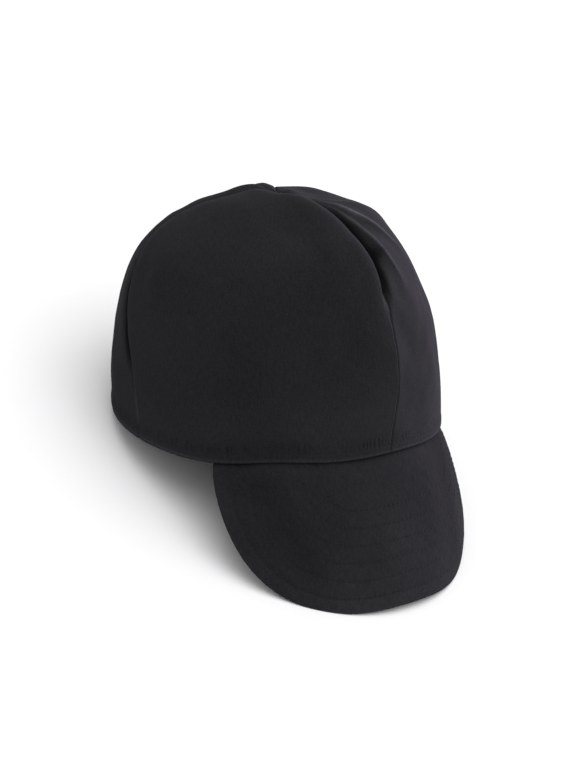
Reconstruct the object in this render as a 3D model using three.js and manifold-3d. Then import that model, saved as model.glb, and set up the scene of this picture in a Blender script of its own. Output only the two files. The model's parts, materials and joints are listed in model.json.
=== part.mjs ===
// Welding cap: four cloth panels sewn into a soft round crown, and a quilted bill that hangs
// from the front of its rim. Millimetres, +Z up, the front of the cap towards -Y and the
// wearer's right towards -X. The cap stands by itself on the bill's edge and the back of the rim.
import * as THREE from 'three';
import { mergeVertices } from 'three/addons/utils/BufferGeometryUtils.js';
import Module from 'manifold-3d';

const wasm = await Module();
wasm.setup();

// Crown: outside sizes with the rim level, as worn
const rimLength = 190;
const rimWidth = 166;
const crownHeight = 128;
const earDip = 10;              // how much lower the rim hangs at the ears than at front and back
const browRise = 3.3;           // how much the rim arches over each brow
const browAngle = 46;           // where it arches, in degrees to either side of the front
const browSpread = 18;
const apexShift = 6.3;          // how far behind the middle of the rim the four seams meet
const rimSquareness = 2.26;     // exponent of the rim's rounded outline, 2 is an ellipse

// Side view of the crown: height to the power rise plus width to the power shoulder is one
const frontProfile = { rise: 2.04, shoulder: 3.34 };
const backProfile = { rise: 3.58, shoulder: 1.74 };

// Cloth
const crownWall = 1.6;
const hemWidth = 6;
const hemFold = 0.8;            // how much thicker the turned hem is on the inside
const hemStep = 0.8;            // height of the step from hem to single wall
const hemStart = 3;             // the hem begins this many degrees past the bill
const hemFull = 6;              // and has its whole thickness here
const seamGap = 0.3;            // clearance between neighbouring pieces
const panelTip = 1.4;           // each panel stops this far from the apex

// Bill
const billArc = 136;            // degrees of the rim that the bill's root takes
const billLength = 83.2;        // from root to edge along the middle
const billEndLength = 2;        // at both ends of the root
const billThickness = 2.6;
const billSpread = 0.72;        // 0 points straight ahead all along, 1 fans out square to the rim
const billCurl = 15;            // how much the bill steepens from root to edge, in degrees
const billFlare = 12;           // the bill swings out from under the rim within this length
const tongueHeight = 8;         // the bill's sewn-in edge behind the crown's hem
const tongueGap = 0.6;          // clearance between that edge and the crown's inside
const billOutline = { power: 4.1, corner: 1.2 };
const billSlope = { middle: 75, ends: 51.5, between: 10 };    // degrees below level

// Standing
const footFlat = 0.8;           // depth of cloth pressed flat where the cap stands
const clothColour = 0x242426;

// Mesh steps
const frontPanelColumns = 20;
const backPanelColumns = 16;
const panelRows = 26;
const billColumns = 36;
const billRows = 12;

// Where the four seams run, in degrees from the front towards the wearer's right, how far they
// drift on their way up and where that ends, a late drift and where it starts and ends, and how
// deep they sink between the panels as a share of the front seam's depth
const seamDepth = 6.5;
const seams = {
  front: { atRim: 1, drift: -5, driftEnd: 0.45, late: -7.5, lateStart: 0.58, lateEnd: 0.82, depth: 1 },
  right: { atRim: 102, drift: 31, driftEnd: 0.7, late: 8, lateStart: 0.5, lateEnd: 0.75, depth: 0.55 },
  back: { atRim: 180, drift: 0, driftEnd: 0.7, late: 0, lateStart: 0.5, lateEnd: 0.75, depth: 0.55 },
  left: { atRim: 258, drift: -31, driftEnd: 0.7, late: -8, lateStart: 0.5, lateEnd: 0.75, depth: 0.55 },
};
const valleyWidth = 8;
const valleyStart = 0.3;        // share of the way up where the valleys begin
const valleyFull = 0.8;         // share of the way up where they are deepest
const valleyLeft = 0.5;         // share of their depth that is left at the apex

// The crown is a little pointed along the front seam, where its two flattest panels meet
const bowRise = 4.5;
const bowWidth = 28;
const bowSpan = { start: -0.08, full: 0.3, fade: 0.4, end: 0.72 };    // shares of the way up

// Soft folds and bulges, beside the seams most of all: place in degrees from the front and
// share of the way up, half length and half width as shares of the crown's height, turn in
// degrees from level, and height as a share of the highest, negative for a trough
const foldRise = 3;
const folds = [
  { at: 15, up: 0.68, length: 0.28, width: 0.11, turn: 84, height: 0.7 },
  { at: 5, up: 0.88, length: 0.13, width: 0.12, turn: 0, height: 1.5 },
  { at: 180, up: 0.90, length: 0.13, width: 0.12, turn: 0, height: 1.3 },
  { at: 315, up: 0.90, length: 0.16, width: 0.12, turn: 0, height: -1.2 },
  { at: 315, up: 0.54, length: 0.22, width: 0.16, turn: 0, height: -0.95 },
  { at: 351, up: 0.64, length: 0.22, width: 0.04, turn: 84, height: -0.7 },
  { at: 344, up: 0.67, length: 0.24, width: 0.035, turn: 78, height: 0.6 },
  { at: 334, up: 0.73, length: 0.20, width: 0.04, turn: 66, height: 0.5 },
  { at: 100, up: 0.50, length: 0.30, width: 0.10, turn: 100, height: 0.5 },
  { at: 50, up: 0.30, length: 0.35, width: 0.20, turn: 0, height: 0.3 },
];
const foldFade = { rim: 0.15, apex: 0.08 };   // shares of the way up over which they fade

const radians = THREE.MathUtils.degToRad;
const mix = THREE.MathUtils.lerp;
const smoothstep = THREE.MathUtils.smoothstep;
const up = new THREE.Vector3(0, 0, 1);
const ahead = new THREE.Vector3(0, -1, 0);
const fullTurn = 360;
const meridianSteps = 240;
const meridians = new Map();

function angleBetween(first, second) {
  return THREE.MathUtils.euclideanModulo(first - second + fullTurn / 2, fullTurn) - fullTurn / 2;
}

// The smooth crown before seams and folds, at an angle in degrees and an arch angle that
// goes from 0 at the rim to 1 at the apex
function archPoint(angle, arch) {
  const turn = radians(angle);
  const frontness = (1 + Math.cos(turn)) / 2;
  const rise = mix(backProfile.rise, frontProfile.rise, frontness);
  const shoulder = mix(backProfile.shoulder, frontProfile.shoulder, frontness);
  const height = Math.sin(arch * Math.PI / 2) ** (2 / rise);
  const width = Math.max(0, Math.cos(arch * Math.PI / 2)) ** (2 / shoulder);
  const sine = Math.abs(Math.sin(turn)) ** rimSquareness;
  const cosine = Math.abs(Math.cos(turn)) ** rimSquareness;
  const reach = width * (sine + cosine) ** (-1 / rimSquareness);
  const fromBrow = (Math.abs(angleBetween(angle, 0)) - browAngle) / browSpread;
  const rim = earDip / 2 * Math.cos(2 * turn) + browRise * Math.exp(-(fromBrow ** 2));
  return new THREE.Vector3(
    -rimWidth / 2 * Math.sin(turn) * reach,
    -rimLength / 2 * Math.cos(turn) * reach + apexShift * height,
    mix(rim, crownHeight, height),
  );
}

// A line up the crown at one angle, with the cloth's length from the rim at each point.
// The arch angles crowd towards the apex, where the crown is flattest.
function meridian(angle) {
  if (!meridians.has(angle)) {
    const points = [];
    const lengths = [0];
    for (let step = 0; step <= meridianSteps; step += 1) {
      const share = step / meridianSteps;
      points.push(archPoint(angle, 1 - (1 - share) ** 3));
      if (step > 0) {
        lengths.push(lengths[step - 1] + points[step].distanceTo(points[step - 1]));
      }
    }
    meridians.set(angle, { points, lengths, total: lengths[meridianSteps] });
  }
  return meridians.get(angle);
}

// Point on the smooth crown at a cloth length from the rim, with the direction that points
// out of the cloth in the upright plane through that line
function smoothCrown(angle, length) {
  const { points, lengths } = meridian(angle);
  let step = 1;
  while (step < meridianSteps && lengths[step] < length) {
    step += 1;
  }
  const share = (length - lengths[step - 1]) / (lengths[step] - lengths[step - 1]);
  const along = points[step].clone().sub(points[step - 1]).normalize();
  const aside = new THREE.Vector3(
    -rimWidth * Math.sin(radians(angle)),
    -rimLength * Math.cos(radians(angle)),
    0,
  ).normalize();
  const out = aside.clone().multiplyScalar(along.z).addScaledVector(up, -along.dot(aside));
  return {
    point: points[step - 1].clone().lerp(points[step], share),
    out: out.normalize(),
    aside,
  };
}

function seamAngle(seam, climb) {
  const late = seam.late * smoothstep(climb, seam.lateStart, seam.lateEnd);
  return seam.atRim + seam.drift * smoothstep(climb, 0, seam.driftEnd) + late;
}

// How far the seams pull the cloth in at a place
function seamValley(angle, climb, reach) {
  const rise = smoothstep(climb, valleyStart, valleyFull);
  const share = rise * mix(1, valleyLeft, smoothstep(climb, valleyFull, 1));
  let deepest = 0;
  for (const seam of Object.values(seams)) {
    const away = Math.abs(radians(angleBetween(angle, seamAngle(seam, climb)))) * reach;
    const depth = seamDepth * seam.depth * share;
    deepest = Math.max(deepest, depth * Math.exp(-away / valleyWidth));
  }
  return deepest;
}

// How far the bow along the front seam pushes the cloth out at a place
function frontBow(angle, climb, reach) {
  const away = Math.abs(radians(angleBetween(angle, seamAngle(seams.front, climb)))) * reach;
  const rise = smoothstep(climb, bowSpan.start, bowSpan.full);
  const fade = 1 - smoothstep(climb, bowSpan.fade, bowSpan.end);
  return bowRise * rise * fade * Math.exp(-away / bowWidth);
}

// How far the folds push the cloth out at a place
function foldHeight(angle, climb, reach, total) {
  let height = 0;
  for (const fold of folds) {
    const sideways = radians(angleBetween(angle, fold.at)) * reach;
    const upwards = (climb - fold.up) * total;
    const turn = radians(fold.turn);
    const lengthways = sideways * Math.cos(turn) + upwards * Math.sin(turn);
    const crossways = upwards * Math.cos(turn) - sideways * Math.sin(turn);
    const along = lengthways / (fold.length * crownHeight);
    const across = crossways / (fold.width * crownHeight);
    height += foldRise * fold.height * Math.exp(-(along ** 2) - across ** 2);
  }
  return height * smoothstep(climb, 0, foldFade.rim) * smoothstep(1 - climb, 0, foldFade.apex);
}

// Point on the finished outside of the crown
function crownPlace(angle, length) {
  const { total } = meridian(angle);
  const climb = length / total;
  const place = smoothCrown(angle, length);
  const reach = Math.hypot(place.point.x, place.point.y - apexShift * climb);
  const lift = foldHeight(angle, climb, reach, total) + frontBow(angle, climb, reach);
  place.point.addScaledVector(place.out, lift - seamValley(angle, climb, reach));
  return place;
}

// How thick the cloth is: the turned hem is thicker, except where the bill is sewn in
function wallAt(angle, row) {
  const besideBill = Math.abs(angleBetween(angle, 0)) - billArc / 2;
  const hem = row < 2 ? hemFold * smoothstep(besideBill, hemStart, hemFull) : 0;
  return crownWall + hem;
}

// Cloth length from the rim of each row of a panel: the hem first, then even steps
function rowLength(row, total) {
  if (row === 0) {
    return 0;
  }
  if (row === 1) {
    return hemWidth;
  }
  return mix(hemWidth + hemStep, total - panelTip, (row - 2) / (panelRows - 2));
}

// A closed body between two grids of points with the same rows and columns. Rows run down
// and columns run towards the wearer's right.
function closedShell(outer, inner) {
  const rows = outer.length;
  const columns = outer[0].length;
  const positions = [...outer.flat(), ...inner.flat()].flatMap((point) => point.toArray());
  const at = (side, row, column) => side * rows * columns + row * columns + column;
  const index = [];
  const quad = (a, b, c, d) => index.push(a, b, c, a, c, d);
  for (let row = 0; row + 1 < rows; row += 1) {
    for (let column = 0; column + 1 < columns; column += 1) {
      const corners = [[row, column], [row, column + 1], [row + 1, column + 1], [row + 1, column]];
      quad(...corners.map(([r, c]) => at(0, r, c)));
      quad(...corners.reverse().map(([r, c]) => at(1, r, c)));
    }
    quad(at(0, row, 0), at(0, row + 1, 0), at(1, row + 1, 0), at(1, row, 0));
    quad(at(0, row + 1, columns - 1), at(0, row, columns - 1),
      at(1, row, columns - 1), at(1, row + 1, columns - 1));
  }
  for (let column = 0; column + 1 < columns; column += 1) {
    quad(at(0, 0, column + 1), at(0, 0, column), at(1, 0, column), at(1, 0, column + 1));
    quad(at(0, rows - 1, column), at(0, rows - 1, column + 1),
      at(1, rows - 1, column + 1), at(1, rows - 1, column));
  }
  const geometry = new THREE.BufferGeometry();
  geometry.setAttribute('position', new THREE.Float32BufferAttribute(positions, 3));
  geometry.setIndex(index);
  return geometry;
}

function seamAngleAtRow(seam, row) {
  const { total } = meridian(seam.atRim);
  return seamAngle(seam, rowLength(row, total) / total);
}

// One crown panel between two seams, with its edges half a seam gap inside them
function crownPanel(first, last, columns) {
  const outer = [];
  const inner = [];
  for (let row = panelRows; row >= 0; row -= 1) {
    const outerRow = [];
    const innerRow = [];
    for (let column = 0; column <= columns; column += 1) {
      const share = (1 - Math.cos(Math.PI * column / columns)) / 2;
      const angle = mix(seamAngleAtRow(first, row), seamAngleAtRow(last, row), share);
      const place = crownPlace(angle, rowLength(row, meridian(angle).total));
      const sideways = new THREE.Vector3(place.aside.y, -place.aside.x, 0);
      place.point.addScaledVector(sideways, seamGap * (0.5 - share));
      outerRow.push(place.point);
      innerRow.push(place.point.clone().addScaledVector(place.out, -wallAt(angle, row)));
    }
    outer.push(outerRow);
    inner.push(innerRow);
  }
  return closedShell(outer, inner);
}

function sineRatio(angle) {
  return Math.abs(angle) < 1e-6 ? 1 : Math.sin(angle) / angle;
}

// Point on top of the bill: across goes from -1 to 1 along the root, along from 0 at the
// root to 1 at the edge
function billPlace(across, along) {
  const angle = across * billArc / 2;
  const root = smoothCrown(angle, 0);
  const outline = Math.max(0, 1 - Math.abs(across) ** billOutline.power) ** (1 / billOutline.corner);
  const length = mix(billEndLength, billLength, outline);
  const aside = ahead.clone().lerp(root.aside, billSpread).normalize();
  const bump = 4 * (across ** 2 - across ** 4);
  const slope = mix(billSlope.middle, billSlope.ends, across ** 2) + billSlope.between * bump;
  const mean = radians(slope + billCurl * (along - 1) / 2);
  const chord = length * along * sineRatio(radians(billCurl) * along / 2);
  const tuck = crownWall + tongueGap;
  const flare = 1 - Math.min(1, length * along / billFlare);
  return root.point
    .addScaledVector(root.aside, -tuck * flare ** 2)
    .addScaledVector(aside, chord * Math.cos(mean))
    .addScaledVector(up, -chord * Math.sin(mean));
}

// Directions square to a grid of points, pointing away from the cap's middle
function gridNormals(grid) {
  const rows = grid.length;
  const columns = grid[0].length;
  return grid.map((line, row) => line.map((point, column) => {
    const along = grid[Math.min(row + 1, rows - 1)][column].clone()
      .sub(grid[Math.max(row - 1, 0)][column]);
    const across = line[Math.min(column + 1, columns - 1)].clone()
      .sub(line[Math.max(column - 1, 0)]);
    const normal = across.cross(along).normalize();
    return normal.multiplyScalar(Math.sign(normal.x * point.x + normal.y * point.y));
  }));
}

// The bill with its sewn-in tongue, which climbs the inside of the crown's front rim
function bill() {
  const outer = [];
  const tongueRows = [1, 0.5];
  const rows = tongueRows.length + billRows;
  for (let row = 0; row <= rows; row += 1) {
    const line = [];
    for (let column = 0; column <= billColumns; column += 1) {
      const across = Math.sin(Math.PI * (column / billColumns - 0.5));
      if (row < tongueRows.length) {
        const place = smoothCrown(across * billArc / 2, tongueRows[row] * tongueHeight);
        line.push(place.point.addScaledVector(place.out, -crownWall - tongueGap));
      } else {
        line.push(billPlace(across, (row - tongueRows.length) / billRows));
      }
    }
    outer.push(line);
  }
  const normals = gridNormals(outer);
  const inner = outer.map((line, row) => line.map((point, column) => (
    point.clone().addScaledVector(normals[row][column], -billThickness)
  )));
  return closedShell(outer, inner);
}

function toSolid(geometry) {
  const bare = geometry.clone();
  bare.deleteAttribute('normal');
  bare.deleteAttribute('uv');
  const merged = mergeVertices(bare);
  return new wasm.Manifold(new wasm.Mesh({
    numProp: 3,
    vertProperties: new Float32Array(merged.attributes.position.array),
    triVerts: new Uint32Array(merged.index.array),
  }));
}

function toGeometry(solid) {
  const mesh = solid.getMesh();
  const geometry = new THREE.BufferGeometry();
  geometry.setAttribute('position', new THREE.BufferAttribute(mesh.vertProperties, 3));
  geometry.setIndex(new THREE.BufferAttribute(mesh.triVerts, 1));
  geometry.computeVertexNormals();
  return geometry;
}

function lowest(geometry, matrix) {
  return new THREE.Box3().setFromBufferAttribute(
    geometry.clone().applyMatrix4(matrix).attributes.position,
  ).min.z;
}

// The tilt at which the bill's edge and the back of the rim touch the floor together
function standingTilt(billShape, backShape) {
  let low = 0;
  let high = Math.PI / 3;
  for (let round = 0; round < 40; round += 1) {
    const tilt = new THREE.Matrix4().makeRotationX(-(low + high) / 2);
    if (lowest(billShape, tilt) < lowest(backShape, tilt)) {
      low = (low + high) / 2;
    } else {
      high = (low + high) / 2;
    }
  }
  return -(low + high) / 2;
}

const shapes = {
  panel_front_right: crownPanel(seams.front, seams.right, frontPanelColumns),
  panel_back_right: crownPanel(seams.right, seams.back, backPanelColumns),
  panel_back_left: crownPanel(seams.back, seams.left, backPanelColumns),
  panel_front_left: crownPanel(
    seams.left,
    { ...seams.front, atRim: seams.front.atRim + fullTurn },
    frontPanelColumns,
  ),
  bill: bill(),
};

// The worn cap is tilted back onto its bill and rim, and pressed flat where it stands
const worn = new THREE.Group();
worn.rotation.x = standingTilt(shapes.bill, shapes.panel_back_right);
worn.updateMatrix();
worn.position.z = -lowest(shapes.bill, worn.matrix) - footFlat;
worn.updateMatrix();

const floorSize = 4 * (rimLength + billLength);
const floor = new THREE.BoxGeometry(floorSize, floorSize, floorSize);
floor.translate(0, 0, -floorSize / 2);
floor.applyMatrix4(worn.matrix.clone().invert());
const floorSolid = toSolid(floor);

for (const [name, shape] of Object.entries(shapes)) {
  const cloth = new THREE.MeshStandardMaterial({
    color: clothColour,
    roughness: 0.95,
    metalness: 0,
  });
  const piece = new THREE.Mesh(toGeometry(toSolid(shape).subtract(floorSolid)), cloth);
  piece.name = name;
  worn.add(piece);
}

// The origin is under the middle of the standing cap
const cap = new THREE.Group();
cap.add(worn);
cap.updateMatrixWorld(true);
const middle = new THREE.Box3().setFromObject(cap, true).getCenter(new THREE.Vector3());
worn.position.x = -middle.x;
worn.position.y = -middle.y;
cap.updateMatrixWorld(true);

export default cap;
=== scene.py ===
"""Looks of a black cotton welding cap: a crown of four sewn panels and a quilted bill.

The cloth is modelled as worn, with the rim level, and then stood on its bill and the back of
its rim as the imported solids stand. The front is towards -Y and the wearer's right is -X.
"""

import json
import math

import bpy
import numpy as np
from bpy.props import FloatProperty, FloatVectorProperty, IntProperty, PointerProperty
from mathutils import Matrix, Vector

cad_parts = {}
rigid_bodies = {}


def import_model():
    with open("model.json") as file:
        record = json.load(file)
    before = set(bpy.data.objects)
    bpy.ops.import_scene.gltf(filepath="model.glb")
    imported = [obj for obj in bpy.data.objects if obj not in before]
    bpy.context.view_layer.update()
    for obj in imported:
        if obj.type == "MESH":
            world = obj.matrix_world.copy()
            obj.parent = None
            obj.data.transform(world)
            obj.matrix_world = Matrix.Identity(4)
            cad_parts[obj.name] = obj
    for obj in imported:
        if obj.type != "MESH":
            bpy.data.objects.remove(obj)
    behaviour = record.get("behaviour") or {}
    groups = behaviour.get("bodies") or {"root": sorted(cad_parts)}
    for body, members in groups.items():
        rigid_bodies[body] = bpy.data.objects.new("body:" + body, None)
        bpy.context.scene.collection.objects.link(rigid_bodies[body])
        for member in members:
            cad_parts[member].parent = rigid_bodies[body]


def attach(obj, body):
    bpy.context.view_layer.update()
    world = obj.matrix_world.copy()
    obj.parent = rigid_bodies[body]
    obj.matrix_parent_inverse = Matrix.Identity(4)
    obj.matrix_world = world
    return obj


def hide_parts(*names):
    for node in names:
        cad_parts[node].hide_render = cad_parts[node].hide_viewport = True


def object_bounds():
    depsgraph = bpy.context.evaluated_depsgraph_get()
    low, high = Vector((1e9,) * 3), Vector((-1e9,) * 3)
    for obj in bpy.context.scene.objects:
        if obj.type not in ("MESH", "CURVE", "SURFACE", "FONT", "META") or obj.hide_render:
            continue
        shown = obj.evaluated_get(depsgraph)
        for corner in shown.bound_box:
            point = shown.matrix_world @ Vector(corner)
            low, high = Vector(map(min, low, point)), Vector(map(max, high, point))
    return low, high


bl_info = {
    "name": "Welding cap",
    "version": (1, 0, 0),
    "blender": (4, 5, 0),
    "location": "View3D > Sidebar > Cap",
    "description": "Builds a soft cotton welding cap around its solids",
    "category": "Object",
}

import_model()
cad_low, cad_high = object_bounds()

MM = 0.001
FULL_TURN = 360.0
PANELS = {
    "panel_front_right": ("front", "right"),
    "panel_back_right": ("right", "back"),
    "panel_back_left": ("back", "left"),
    "panel_front_left": ("left", "front"),
}


def table(columns, *rows):
    """Rows of values, each a dictionary by the names of the columns."""
    return [dict(zip(columns.split(), row)) for row in rows]


# Where the four seams run, in degrees from the front towards the wearer's right: at the rim, by
# how far they drift on their way up, and where that ends; a second drift higher up, from where to
# where; how deep they sink, as a share of the front seam's depth, and how wide their valleys are
SEAMS = dict(zip(("front", "right", "back", "left"), table(
    "at drift drift_end late late_from late_to depth width",
    (2.6, -3.4, 0.25, -6.2, 0.36, 0.62, 1.0, 6 * MM),
    (102.0, 31.0, 0.7, 8.0, 0.50, 0.75, 0.55, 8 * MM),
    (180.0, 0.0, 0.7, 0.0, 0.50, 0.75, 0.55, 8 * MM),
    (258.0, -31.0, 0.7, -8.0, 0.50, 0.75, 0.55, 8 * MM),
)))
VALLEY_START = 0.3  # shares of the way up where the seams' valleys begin and are deepest
VALLEY_FULL = 0.8
APEX_DEPTH = 0.5  # share of their depth that is left at the apex
SEAM_CREASE = 0.5 * MM  # depth and half width of the narrow crease along each seam
SEAM_CREASE_WIDTH = 0.6 * MM
PUCKER_DEPTH = 0.2 * MM
PUCKER_LENGTH = 11 * MM
PUCKER_REACH = 5 * MM  # how far to both sides of the seam
PUCKER_START = (0.02, 0.1)  # shares of the way up between which they begin

# Where the large front panel's edge rolls over the seam beside it: its side of the seam, the
# shares of the way up at which the roll and the gap under it start, are full, fade and end, and
# how strong both are
LIPS = table(
    "seam side roll gap strength",
    ("front", 1, (0.36, 0.50, 0.72, 0.86), (0.41, 0.56, 0.70, 0.82), 1.0),
    ("right", -1, (0.10, 0.30, 0.56, 0.68), (0.18, 0.27, 0.43, 0.51), 0.7),
)
LIP_OVERHANG = 3.4 * MM
LIP_CREST = 2.4 * MM  # from the seam to where it overhangs most
LIP_RISE = 2.4 * MM
SWELL_CREST = 8 * MM  # from the seam to where it rises most
SWELL_WIDTH = 9 * MM
SWELL_FULL = 3 * MM  # the rise fades towards the seam within this
LIP_SINK = 8.0 * MM
LIP_GAP = 2.2 * MM  # half width of the gap under the roll
EDGE_SINK = 0.5  # how deep the roll's own edge sinks, as a share of the gap
EDGE_SINK_WIDTH = 1.5 * MM
LIP_SHADE = 1.45  # how deep the painted shade in the gap under the roll is, black where it is deepest
SHADE_FLAT = 2.5 * MM  # full shade this far from the seam, then it fades
SHADE_WIDTH = 1.6 * MM
SHADE_EDGE = 0.8 * MM
POCKET = 0.59  # share of the way up where the shade is widest
POCKET_WIDTH = 3.0 * MM
POCKET_HEIGHT = 0.022
LIP_HIGHLIGHT = 0.12  # how bright the painted highlight on the roll's crest is
LIP_HIGHLIGHT_AT = 1.6 * MM
LIP_HIGHLIGHT_WIDTH = 0.8 * MM

# The front bow's height, half width and the shares of the way up that it lies between
BOW_RISE = 4.5 * MM
BOW_WIDTH = 28 * MM
BOW_SPAN = (-0.08, 0.30, 0.40, 0.72)

# Crisp creases: from and to which share of the way up, degrees at both ends, how far they bow,
# half width and height, how much lighter their crests are painted, partly worn crests and partly
# painted highlight, and half the width of that
CREASES = table(
    "low high from to bow width height wear band",
    (0.44, 0.88, -17.5, -12.0, 0.5, 2.8 * MM, 1.7 * MM, 1.0, 0.8 * MM),
    (0.54, 0.88, -37.0, -16.0, 5.0, 2.6 * MM, 1.7 * MM, 1.1, 1.4 * MM),
    (0.64, 0.95, -52.0, -26.0, 2.0, 2.6 * MM, 0.6 * MM, 0.5, 1.2 * MM),
    (0.00, 0.13, -4.0, -44.0, 3.0, 3.0 * MM, 0.35 * MM, 0.0, 1.0 * MM),
    (0.00, 0.24, 101.2, 107.6, 0.0, 1.2 * MM, 0.4 * MM, 0.6, 0.9 * MM),
    (0.40, 0.62, 118.5, 131.0, 0.0, 1.2 * MM, 0.3 * MM, 0.3, 0.9 * MM),
)
CREST_ROUNDING = 0.5 * MM
CREASE_ENDS = (0, 0.35, 0.7, 1)  # shares of a crease at which it starts, is full, fades, ends
CREST_FULL = 3 * MM  # creases fade towards the seams within this

# Soft folds and bulges: degrees from the front and share of the way up, half length and half
# width as shares of the crown's height, turn in degrees from level, and height against the
# crown's fold rise, negative for a trough
FOLDS = table(
    "at up length width turn height",
    (15, 0.68, 0.28, 0.11, 84, 0.5),
    (5, 0.88, 0.13, 0.12, 0, 1.5),
    (180, 0.90, 0.13, 0.12, 0, 1.3),
    (315, 0.90, 0.16, 0.12, 0, -1.2),
    (315, 0.50, 0.22, 0.18, 0, -0.65),
    (316, 0.71, 0.18, 0.13, 0, 0.5),
    (351, 0.64, 0.22, 0.04, 84, -0.6),
    (100, 0.50, 0.30, 0.10, 100, 0.5),
    (50, 0.30, 0.35, 0.20, 0, 0.3),
)
FOLD_FADE_RIM = 0.15
FOLD_FADE_APEX = 0.08

# Broad patches painted lighter, or darker where negative, partly faded and deep black cloth and
# partly painted shade and light: degrees from the front and share of the way up, half width in
# degrees, half height as a share, and how much lighter the cloth is painted there
FADES_AND_SHADES = table(
    "at up across along wear",
    (66, 0.33, 20, 0.16, -0.18),
    (60, 0.35, 60, 0.50, -0.05),
    (36, 0.44, 16, 0.18, -0.12),
    (18, 0.60, 16, 0.15, -0.26),
    (46, 0.03, 25, 0.05, -0.16),
    (12, 0.38, 8, 0.14, -0.15),
    (28, 0.75, 14, 0.07, -0.18),
    (57, 0.19, 11, 0.08, -0.12),
    (-7, 0.07, 6, 0.12, 0.16),
    (-33, 0.50, 10, 0.24, -0.22),
    (-20, 0.735, 8, 0.03, 0.28),
    (-11.5, 0.53, 4, 0.06, 0.20),
)

# The smooth crown from the side, at its back and its front: height to the power rise plus width
# to the power shoulder is one. From above, a rim squareness of 2 would be an ellipse
RISE_POWERS = (3.58, 2.04)
SHOULDER_POWERS = (1.74, 3.34)
RIM_SQUARENESS = 2.26
BROW_ANGLE = 46  # degrees from the front
BROW_SPREAD = 18
HIGHEST_ARCH = 0.9995  # keeps clear of the apex, where directions can't be measured
ARCH_STEP = 0.0004
PANEL_TIP = 0.9 * MM  # each panel stops this far from the apex
FAR_AWAY = 1.0  # metres
RIPPLE_HEIGHT = 1.4  # the usual height of the ripples before they are scaled

# Panels: gentle waves and dents, calm beside the seams and at the rim, and the gaps between them
WAVE_HEIGHT = 0.55 * MM
WAVE_LENGTH = 46 * MM
DENT_HEIGHT = 0.16 * MM
DENT_LENGTH = 15 * MM
CALM_REACH = 7 * MM
SOFT_FULL = 0.2
SEAM_GAP = 0.08 * MM  # between neighbouring panels outside
SEAM_OVERLAP = 0.6 * MM  # how far they press into one another inside
ALLOWANCE = 0.9 * MM  # the folded seam allowances' thickness inside
ALLOWANCE_EDGE = (7 * MM, 8.5 * MM)
ALLOWANCE_START = 9 * MM
# The most that crease crests are painted lighter, partly wear and partly painted highlight
BRIGHTEST_CREST = 1.3
PATCHY_WEAR = 0.05
CROWN_PATCH = 60 * MM
FRONT_COLUMNS = 280
BACK_COLUMNS = 150

# The hem: its step, groove and puckers, the painted shade in the puckers, and how much lighter
# its edge is painted
HEM_ROW_INSET = 0.8 * MM  # the stitch row lies this far below the hem's top
HEM_STEP = 0.8 * MM
HEM_PROUD = 0.3 * MM
HEM_GROOVE = 0.3 * MM
HEM_GROOVE_WIDTH = 0.5 * MM
HEM_PUCKER_DEPTH = 0.22 * MM
HEM_PUCKER_LENGTH = 2.4 * MM
HEM_PUCKER_ABOVE = 2.0 * MM
HEM_PUCKER_REACH = 2.4 * MM
HEM_PUCKER_SHADE = 0.3
HEM_UNEVEN_LENGTH = 9 * MM
HEM_PATCH_LENGTH = 30 * MM
HEM_EDGE_DROP = 0.5 * MM
HEM_EDGE_WIDTH = 1.2 * MM
HEM_EDGE_LIGHTER = 0.45
HEM_LIGHTER_AT = 0.9 * MM
HEM_LIGHTER_WIDTH = 0.8 * MM
HEM_BESIDE_BILL = (3, 6)  # degrees past the bill between which the fold begins

# The bill's outline from above, its spread from straight ahead to square to the rim, its slope
# and curl in degrees, and how it comes out from under the rim
OUTLINE_POWER = 4.1
OUTLINE_CORNER = 1.2
BILL_SPREAD = 0.72
SLOPE_MIDDLE = 75
SLOPE_ENDS = 51.5
SLOPE_BETWEEN = 10
BILL_CURL = 15
BILL_FLARE = 12 * MM
TONGUE_GAP = 0.5 * MM
EDGE_ROUNDING = 0.55  # of the thickness, over which the edge is rounded
THINNEST = 0.003  # keeps the edge from closing to nothing

# The bill's surface: the hollow on the wearer's right, where down counts from the root, and
# bends, wrinkles, and the tones painted on it, partly wear and partly painted shade and light
TROUGH_DEPTH = 2.2 * MM
TROUGH_WIDTH = 7 * MM
TROUGH_AT = 70 * MM
TROUGH_BOW = 17 * MM
TROUGH_LENGTH = 67 * MM
TROUGH_SPAN = (2 * MM, 16 * MM, 58 * MM, 76 * MM)
QUILT_WIDTH = 0.8 * MM
BEND_HEIGHT = 0.35 * MM
BEND_LENGTH = 38 * MM
BEND_FULL = 20 * MM
WRINKLE_HEIGHT = 0.07 * MM
WRINKLE_LENGTH = 5 * MM
BILL_PATCH = 40 * MM
# Here left, right_low, right_high and hollow are painted shade, tip is painted light, and edge,
# band and all lighten the edge, the edge band and the whole bill
BILL_WEAR_AND_SHADING = {"all": 0.11, "band": 0.10, "edge": 0.25, "tip": 0.16, "left": -0.52,
             "right_low": -0.25, "right_high": -0.2, "hollow": -0.07}

# Where the cap is pressed flat on the floor: the depth of it, and the cloth's thickness there
FOOT_FLAT = 0.8 * MM
FLAT_WALL = 0.3 * MM

# Seeds of the uneven surfaces
SEAM_SEED = 40
HEM_SEED = 71
BILL_SEED = 15
PANEL_SEED = 100
PANEL_SEED_STEP = 10

# The weave: threads are 0.4 mm apart on the real cloth, and a little coarser here so that they
# show. Wear and painted shading of 1 make the cloth this many times as bright, and of -1 as many
# times darker
WEAVE = 0.55 * MM
WEAVE_HEIGHT = 0.12 * MM
WEAVE_SHARE = 0.35
SLUB_SCALES = ((1500, 260, 1), (700, 1400, 1))
FADING_SCALE = 28.0
WEAR_AND_SHADING_CONTRAST = 3.0

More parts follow.
